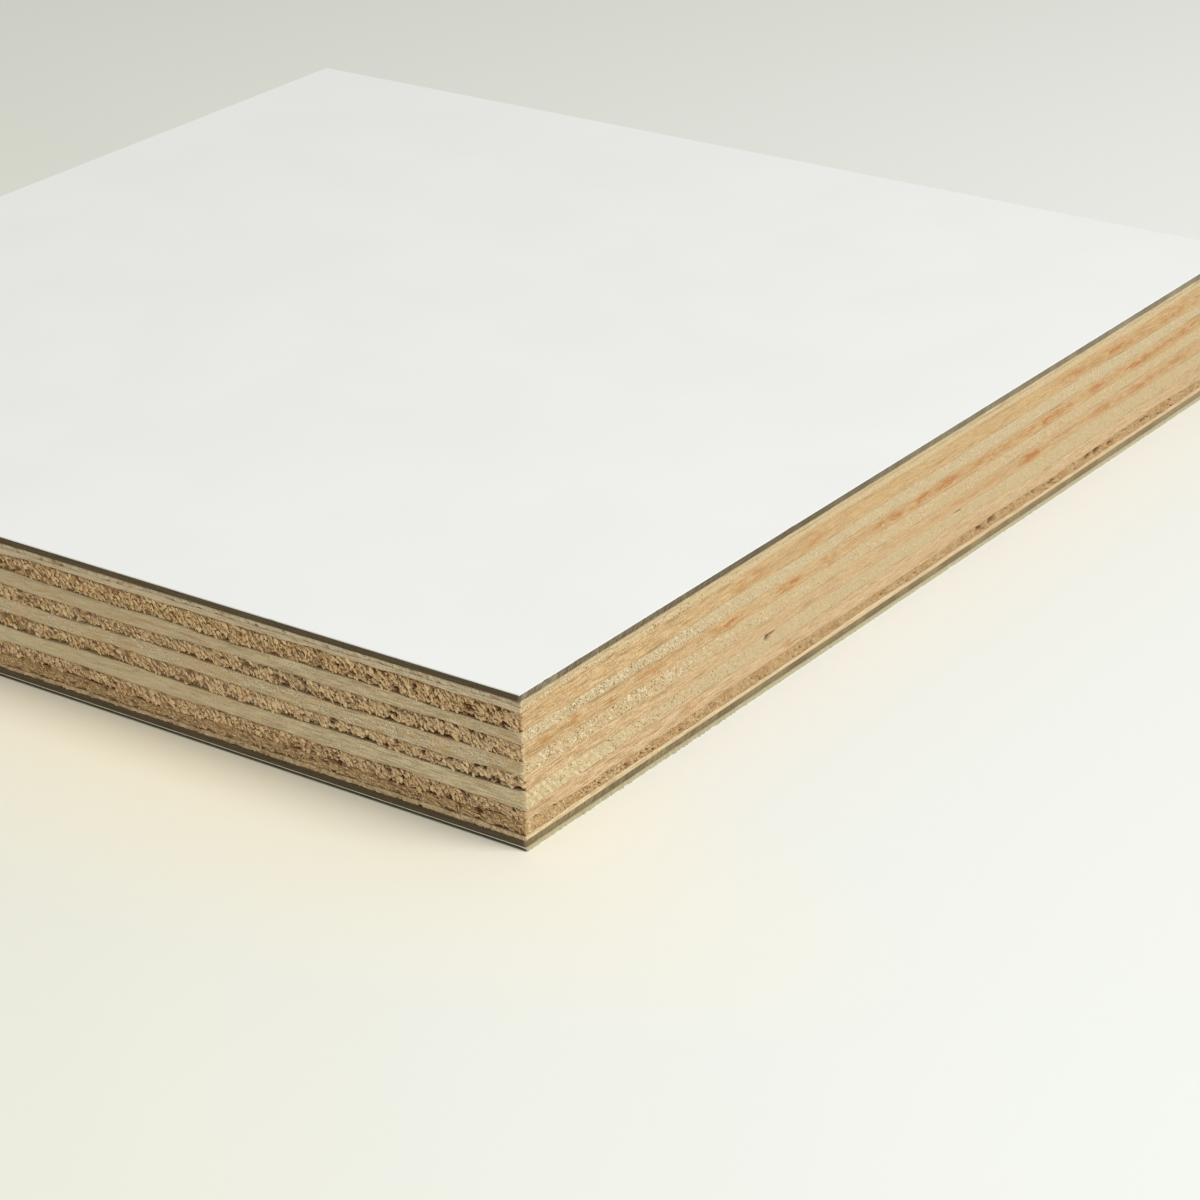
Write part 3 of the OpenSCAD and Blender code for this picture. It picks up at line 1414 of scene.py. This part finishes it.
    def build(self) -> bpy.types.Object:
        """Build the veneer and dress it.

        Returns:
            The finished piece.
        """
        bm = self.walls()
        box_points, box_faces = len(bm.verts), len(bm.faces)
        shapes = {shape: shape.mesh() for shape in TuftShape}
        fields = [self.scatter(side, kind) for side in Side for kind in self.cut(side).tufts]
        for tufts in fields:
            for _ in range(len(tufts.u)):
                bm.from_mesh(shapes[tufts.kind.shape])
        mesh = mesh_from(bm, f"{self.node}_sawn")
        box = points_of(mesh)[:box_points]
        sides = self.wall_sides(mesh)
        carved, depth = self.carve(box)
        values = {name: np.zeros(box_points) for name in ("relief", "stain", "tone", "pale", "ends", "crisp")}
        for side in Side:
            on = np.flatnonzero(self.lies_on(side, box))
            for name, numbers in self.values_on(self.spots_on(side, box[on]), depth[on]).items():
                values[name][on] = np.maximum(values[name][on], numbers)
        blocks, blocks_values, face = [carved], [values], box_faces
        for tufts in fields:
            shape = shapes[tufts.kind.shape]
            laid, laid_values = self.lay_tufts(tufts, points_of(shape))
            blocks.append(laid)
            blocks_values.append(laid_values)
            next_face = face + len(tufts.u) * len(shape.polygons)
            sides[face:next_face] = tufts.side.place
            face = next_face
        write_points(mesh, self.bend(np.concatenate(blocks)))
        keep_values(mesh, {name: np.concatenate([v[name] for v in blocks_values]) for name in values})
        self.lay_out(mesh, np.concatenate([box, *blocks[1:]]), sides)
        for shape_mesh in shapes.values():
            bpy.data.meshes.remove(shape_mesh)
        return self.register(mesh, self.finish.make())


@dataclass
class KraftCore(SheetLayer):
    """The dark paper core of a laminate, scratched by the saw on its front and back edges, which also carry a
    painted sheen.
    """

    column: float = 0.4
    row: float = 0.17
    finish: KraftFinish = KraftFinish()
    # Saw scratches and painted sheen: more further along the edge, less round the middle of the top core's
    # front.
    far_wear_and_sheen: float = 0.5
    far_reach: Span = (50.0, 130.0)
    spared: float = 0.0
    spared_middle: float = 48.0
    spared_reach: float = 36.0
    most_even: float = 0.75
    even_reach: Span = (25.0, 70.0)

    def relief(self, at: Spots) -> Array:
        """Depth of an edge behind the sheet's outline."""
        return 0.02 + 0.03 * self.noise(at.side).fractal(at.u / 1.2, at.h / 0.3)

    def build(self) -> bpy.types.Object:
        """Build the core and dress it.

        Returns:
            The finished piece.
        """
        mesh = mesh_from(self.walls(), f"{self.node}_sawn")
        box = points_of(mesh)
        sides = self.wall_sides(mesh)
        write_points(mesh, self.carve(box)[0])
        # Saw scratches and painted sheen on the front and back edges, stronger and evened out further along.
        scratch_and_sheen, even = np.zeros(len(box)), np.zeros(len(box))
        for side in (Side.FRONT, Side.BACK):
            on = self.lies_on(side, box)
            u = self.spots_on(side, box[on]).u
            spared = self.spared * band(u - self.spared_middle, self.spared_reach)
            scratch_and_sheen[on] = 1 + self.far_wear_and_sheen * smooth_step(*self.far_reach, u) - spared
            even[on] = self.most_even * smooth_step(*self.even_reach, u)
        keep_values(mesh, {"scratch_and_sheen": scratch_and_sheen, "even": even})
        self.lay_out(mesh, box, sides)
        return self.register(mesh, self.finish.make())


@dataclass
class DecorLayer(SheetLayer):
    """The white layer of a laminate, with small chips along its cut arris.

    The lower one has a frayed burr along its front and worn other arrises, greyed by sawdust and painted
    shade, most on the burr.
    """

    column: float = 0.2
    row: float = 0.08
    inset: float = 0.01
    chip: float = 0.07
    burr: float = 0.0
    even_burr: float = 0.42
    even_reach: Span = (30.0, 90.0)
    hang: float = 0.0
    worn: float = 0.0
    edge_dust_and_shade: float = 0.0

    def relief(self, at: Spots) -> Array:
        """Depth of an edge behind the sheet's outline, below 0 on the burr.

        Args:
            at: Places on the edge.

        Returns:
            One depth for each place.
        """
        u, noise = at.u, self.noise(at.side)
        chips = smooth_step(0.62, 0.9, noise.fractal(u / 1.6, np.full_like(u, 0.5)))
        if at.side is not Side.FRONT:
            return self.inset + self.chip * chips + self.worn * smooth_step(0.05, 0.0, at.h)
        frayed = 0.2 + 0.8 * noise.smooth(u / 0.24, np.full_like(u, 7.5)) ** 2
        frayed += 0.85 * smooth_step(*self.even_reach, u) * (self.even_burr - frayed)
        swell = 0.55 + 0.45 * noise.fractal(u / 1.1, u * 0)
        return self.inset + self.chip * chips - self.burr * frayed * swell

    def build(self) -> bpy.types.Object:
        """Build the layer and dress it.

        Returns:
            The finished piece.
        """
        mesh = mesh_from(self.walls(), f"{self.node}_pressed")
        box = points_of(mesh)
        carved = self.carve(box)[0]
        down = (self.high.z - box[:, 2]) / (self.high.z - self.low.z)
        on_front = self.lies_on(Side.FRONT, box)
        carved[:, 2] -= self.hang * MM * down * on_front
        write_points(mesh, carved)
        # Sawdust and painted shade: a burred front greys fully, the other cut edges as much as the layer
        # asks.
        dust_and_shade = np.where(on_front, float(self.burr > 0), self.edge_dust_and_shade)
        on_edges = np.any([self.lies_on(side, box) for side in Side], axis=0)
        keep_values(mesh, {"dust_and_shade": np.where(on_edges, dust_and_shade, 0.0)})
        return self.register(mesh, DecorFinish().make())


# Rows of Stain and Pit values, by a veneer's number: what the photo shows on that veneer's edge.
SHOWN_STAINS: dict[int, tuple[tuple[float, ...], ...]] = {
    2: ((128, 9, 0.45, 0.2, 0.15), (104, 8, 0.5, 0.2, 0.15)),
    4: ((174.5, 3, 0.4, 0.45, 0.4), (155.5, 5, 0.8, 0.35, 0.14), (151, 4, 0.4, 0.3, 0.12),
        (121, 8, 0.5, 0.4, 0.16), (113, 5, 0.3, 0.3, 0.12), (100, 6, 0.5, 0.3, 0.14)),
    8: ((128, 6, 0.8, 0.35, 0.16), (140, 4, 0.6, 0.2, 0.12)),
    3: ((45, 2.2, 0.45, 0.5), (48.5, 2, 0.55, 0.6), (61, 2.4, 0.5, 0.5), (127, 4, 0.5, 0.45),
        (138, 6, 0.5, 0.4), (155, 4, 0.5, 0.25), (150, 32, 0.45, 0.4, 0.4)),
    5: ((4, 2.2, 0.6, 0.5), (10.5, 1, 0.5, 0.7), (17.5, 0.6, 0.4, 0.6), (26, 4.5, 0.5, 0.5),
        (42, 4.8, 0.5, 0.9), (55.5, 3, 0.5, 0.9), (65, 2.5, 0.5, 0.5), (79, 3.5, 0.5, 0.8),
        (87, 3, 0.5, 0.9), (93, 3.5, 0.5, 0.7), (104, 4, 0.5, 0.8), (110, 2.5, 0.5, 0.6),
        (120, 7, 0.5, 0.6), (134, 5, 0.5, 0.3), (145, 5, 0.5, 0.35), (160, 6, 0.5, 0.35),
        (145, 34, 0.5, 0.45, 0.4), (88, 42, 0.5, 0.25, 0.4)),
    7: ((115.5, 4, 0.5, 0.7), (135, 5, 0.5, 0.25), (147, 5, 0.5, 0.3), (159, 4, 0.5, 0.25),
        (148, 32, 0.5, 0.4, 0.4), (102, 28, 0.5, 0.3, 0.35)),
    9: ((13, 1.2, 0.5, 0.3), (33.5, 2.8, 0.5, 0.5), (55, 0.9, 0.5, 0.6)),
    11: ((135, 75, 0.5, 0.2, 1.6),),
}
FRONT_PITS: dict[int, tuple[tuple[float, ...], ...]] = {
    8: ((51.2, 1.85, 1.1, 0.32, 0.9), (50.5, 1.6, 0.7, 0.4, 0.7), (96.2, 1.95, 0.9, 0.2, 0.6),
        (0.0, 1.05, 3.2, 2.4, -0.3)),
    10: ((20.2, 0.7, 0.35, 0.3, 0.6), (101.8, 0.8, 1.0, 0.5, 0.45), (105.2, 0.9, 1.1, 0.55, 0.5),
        (121.5, 0.8, 1.0, 0.5, 0.45), (131.6, 0.9, 0.9, 0.6, 0.5), (134.2, 0.9, 1.1, 0.6, 0.6),
        (138.0, 0.7, 1.0, 0.4, 0.35), (148.0, 0.8, 1.6, 0.4, 0.3)),
}


class Panel:
    """The whole sheet: eleven veneers between two laminates."""

    def veneer_finish(self, number: int) -> WoodFinish:
        """Choose a veneer's finish.

        Args:
            number: The veneer's number from the top.

        Returns:
            Its finish.
        """
        tones = {
            1: ("#dac8a3", "#c2a97d"), 2: ("#dfd0b3", "#c8b48f"), 3: ("#dabd90", "#bf9a68"),
            4: ("#d9c8a6", "#bfa982"), 5: ("#dbbf93", "#c09b6a"), 6: ("#dac6a3", "#c0a679"),
            7: ("#dcc096", "#c19f70"), 8: ("#dbcba9", "#c5b088"), 9: ("#dec49d", "#c4a276"),
            10: ("#d6b88e", "#b8945f"), 11: ("#e8d5b0", "#d8be93"),
        }
        pale, tan = tones[number]
        grain = Grain.ALONG_X if number % 2 else Grain.ALONG_Y
        end_pores = {10: 1.0, 1: 0.5, 11: 0.6}.get(number, 0.95)
        end_tint = {1: 0.4, 2: 0.42, 4: 0.18, 5: 0.25, 6: 0.22, 7: 0.4, 8: 0.3}.get(number, 0.0)
        end_colour = {1: "#e3dac2", 5: "#f6e2ba", 7: "#f6e2ba"}.get(number, "#d4b27a")
        bleached = {2: "#dfcd9f", 6: "#f1e6c8", 8: "#ebdbb0", 10: "#e6cba0"}
        return WoodFinish(
            f"veneer_{number:02d}_wood", pale, tan, grain,
            bleached.get(number, "#f2d4a4" if number % 2 else "#ecdfba"),
            end_pores=end_pores, end_tint=end_tint, end_colour=end_colour,
        )

    def veneer(self, number: int) -> Veneer:
        """Describe a veneer.

        Args:
            number: The veneer's number from the top.

        Returns:
            The veneer, not yet built.
        """
        along_x = number % 2 == 1
        ends = {
            1: Cut.ROUGH_END, 5: Cut.GAPING_END, 7: Cut.GAPING_END, 10: Cut.ROUGH_END, 11: Cut.SPECKLED_END,
        }
        across = ends.get(number, Cut.TORN_END if along_x else Cut.SAWN_END)
        lengths = {6: Cut.FUZZY_LONG, 10: Cut.BROWN_LONG}
        slots = {1: "face_veneer", 11: "face_veneer", 10: "heartwood_veneer"}
        torn = across in (Cut.TORN_END, Cut.GAPING_END)
        return Veneer(
            node=f"veneer_{number:02d}", seed=number, finish=self.veneer_finish(number), across=across,
            slot=slots.get(number, "long_veneer" if along_x else "cross_veneer"),
            lengthwise=lengths.get(number, Cut.SAWN_LONG if along_x else Cut.COMBED_LONG),
            row=0.16 if torn else 0.2, end_column=0.16 if torn else 0.25,
            shaded_depths=(0.18, 0.46) if number == 10 else (0.2, 0.5), corner_share=0.65 if torn else 0.3,
            stains=tuple(Stain(*row) for row in SHOWN_STAINS.get(number, ())),
            pits=tuple(Pit(*row) for row in FRONT_PITS.get(number, ())),
            streaks=SawStreaks() if number == 8 else None,
            end_shade={8: 0.06, 10: 0.05, 11: 0.09}.get(number, 0.0),
            rim_tone={1: 0.5, 11: 0.15}.get(number, 0.3), rim_width=0.1 if number == 1 else 0.07,
            far_grain=0.0 if number in (7, 11) else 0.35,
            seam_above=self.seam(number - 1), seam_below=self.seam(number),
        )

    def seam(self, number: int) -> Optional[Seam]:
        """Describe the seam below a veneer, or none where the veneer lies on a flat laminate."""
        if number not in range(1, 11):
            return None
        return Seam(number, bend={1: 0.12, 10: 0.18, 8: 0.45, 9: 0.5}.get(number, 0.32))

    def layers(self) -> list[SheetLayer]:
        """Describe all layers.

        Returns:
            The layers from the top down, not yet built.
        """
        veneers = [self.veneer(number) for number in range(1, 12)]
        top = [DecorLayer("top_decor", "decor", 20), KraftCore("top_kraft_core", "kraft", 21, spared=0.55)]
        # The bottom core's saw scratches and painted sheen take a greyer colour and cover more.
        dusty = KraftFinish("bottom_kraft_cut", scratch_and_sheen="#9a8864", least=0.45, even_mark=0.75)
        bottom = [
            KraftCore("bottom_kraft_core", "kraft", 22, finish=dusty),
            DecorLayer(
                "bottom_decor", "decor", 23, column=0.12, burr=0.5, hang=0.34, worn=0.1, edge_dust_and_shade=0.25,
            ),
        ]
        return [*top, *veneers, *bottom]


@dataclass(frozen=True)
class PhotoCamera:
    """The camera at the photograph's viewpoint, with angles in degrees and a focal length in its pixels."""

    place: Place = (-385.7, -323.4, 208.8)
    yaw: float = 36.898
    pitch: float = 25.037
    roll: float = -1.767
    focal_px: float = 3726.7
    frame_px: float = 1200.0
    sensor: float = 36.0

    def make(self) -> bpy.types.Object:
        """Make the camera and look through it.

        Returns:
            The camera.
        """
        yaw, pitch, roll = (math.radians(a) for a in (self.yaw, self.pitch, self.roll))
        ahead = Vector((math.cos(yaw) * math.cos(pitch), math.sin(yaw) * math.cos(pitch), -math.sin(pitch)))
        level = Vector((math.sin(yaw), -math.cos(yaw), 0.0))
        rise = level.cross(ahead)
        right = math.cos(roll) * level + math.sin(roll) * rise
        up = math.cos(roll) * rise - math.sin(roll) * level
        data = bpy.data.cameras.new("photo_camera")
        data.sensor_width = self.sensor
        data.lens = self.focal_px / self.frame_px * self.sensor
        data.clip_start = 0.01
        camera = link("photo_camera", data)
        turn = Matrix((right, up, -ahead)).transposed().to_4x4()
        camera.matrix_world = Matrix.Translation(Vector(self.place) * MM) @ turn
        bpy.context.scene.camera = camera
        return camera


@dataclass(frozen=True)
class Studio:
    """A pale floor, a soft lamp to the right of the camera and an even sky."""

    floor_size: float = 6000.0
    floor_drop: float = 0.36
    sky: str = "#ffffff"
    sky_strength: float = 0.5
    lamp_place: Place = (20.0, -763.0, 900.0)
    lamp_aim: Place = (-80.0, -100.0, 0.0)
    lamp_size: float = 700.0
    lamp_watts: float = 8.7
    lamp_colour: str = "#ffffff"

    def floor(self) -> bpy.types.Object:
        """Lay the floor just under the sheet.

        Returns:
            The floor.
        """
        bm = bmesh.new()
        bmesh.ops.create_grid(bm, x_segments=1, y_segments=1, size=self.floor_size * MM / 2)
        bmesh.ops.translate(bm, verts=bm.verts, vec=(0, 0, -self.floor_drop * MM))
        mesh = mesh_from(bm, "floor")
        mesh.materials.append(FloorFinish().make())
        floor = link("floor", mesh)
        return floor

    def lamp(self) -> bpy.types.Object:
        """Hang the soft lamp, aimed at the sheet.

        Returns:
            The lamp.
        """
        data = bpy.data.lights.new("soft_lamp", "AREA")
        data.shape = "DISK"
        data.size = self.lamp_size * MM
        data.energy = self.lamp_watts
        data.color = linear(self.lamp_colour)[:3]
        lamp = link("soft_lamp", data)
        place = Vector(self.lamp_place) * MM
        aim = (Vector(self.lamp_aim) * MM - place).to_track_quat("-Z", "Y").to_matrix().to_4x4()
        lamp.matrix_world = Matrix.Translation(place) @ aim
        return lamp

    def make(self) -> None:
        """Set the stage and its light."""
        self.floor()
        self.lamp()
        world = bpy.data.worlds.new("even_sky")
        world.use_nodes = True
        background = world.node_tree.nodes["Background"]
        background.inputs["Color"].default_value = linear(self.sky)
        background.inputs["Strength"].default_value = self.sky_strength
        scene = bpy.context.scene
        scene.world = world
        scene.view_settings.view_transform = "Standard"


def main() -> None:
    """Build the camera, the stage and every layer of the sheet."""
    logging.basicConfig(level=logging.INFO, format="%(name)s: %(message)s")
    PhotoCamera().make()
    Studio().make()
    for layer in Panel().layers():
        piece = layer.build()
        piece.data.calc_loop_triangles()
        log.info("%s stands for %s with %d triangles", piece.name, layer.node, len(piece.data.loop_triangles))


if __name__ == "__main__":
    main()
